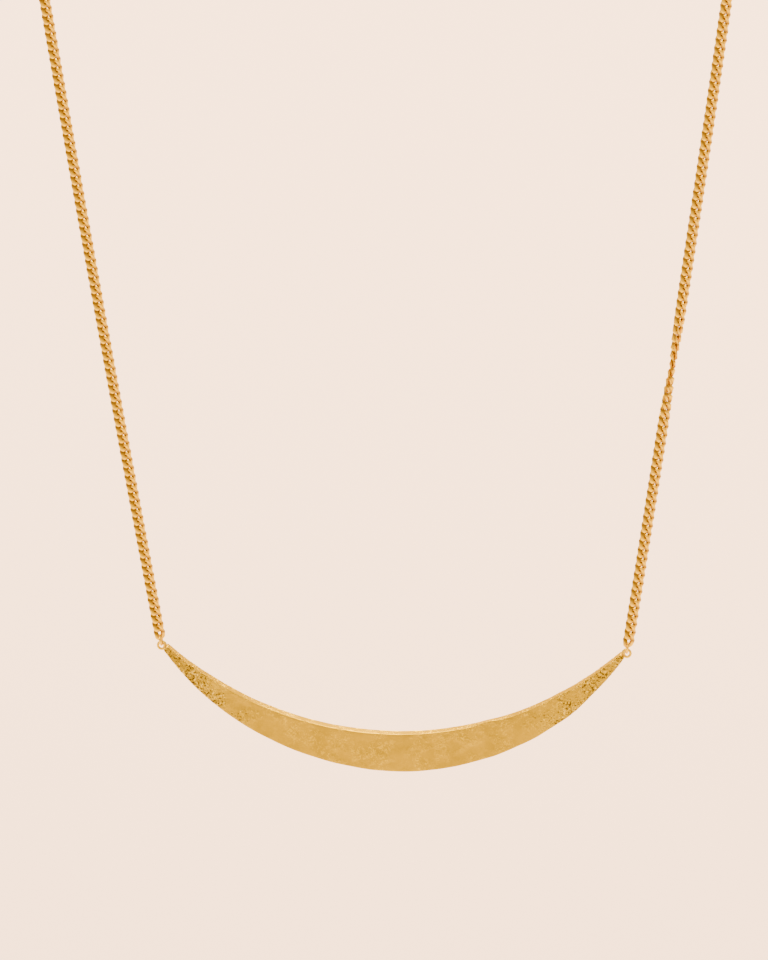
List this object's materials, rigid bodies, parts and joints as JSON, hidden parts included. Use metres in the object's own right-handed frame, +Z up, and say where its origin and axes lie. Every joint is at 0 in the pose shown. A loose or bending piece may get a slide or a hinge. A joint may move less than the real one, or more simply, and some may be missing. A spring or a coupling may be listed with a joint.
{
  "type": "crescent necklace",
  "caption": "Necklace with a flat matte gold crescent hung by its two points from a fine curb chain, closed at the nape by a plain clasp ring.",
  "frame": {"origin": "the top of the loop, where it lies on the nape, at the middle of the clasp", "axes": "+Z up as it hangs, +X to the viewer's right, -Y towards the viewer, out of the crescent's face"},
  "size_m": [0.0956, 0.0028, 0.1814],
  "materials": {
    "crescent_gold": "matte, brushed and pitted near the points",
    "chain_gold": "polished",
    "clasp_gold": "polished"
  },
  "bodies": {
    "necklace": {"tip_ring_left": "chain_gold", "tip_ring_right": "chain_gold", "chain_left": "chain_gold", "chain_right": "chain_gold", "clasp": "clasp_gold", "end_ring_left": "clasp_gold", "end_ring_right": "clasp_gold"},
    "pendant": {"crescent": "crescent_gold"}
  },
  "joints": [
    {"name": "crescent_swing", "type": "hinge", "parent": "necklace", "child": "pendant", "pos_m": [0, 0, -0.16162], "axis": [1, 0, 0], "range_deg": [-90, 90]}
  ]
}
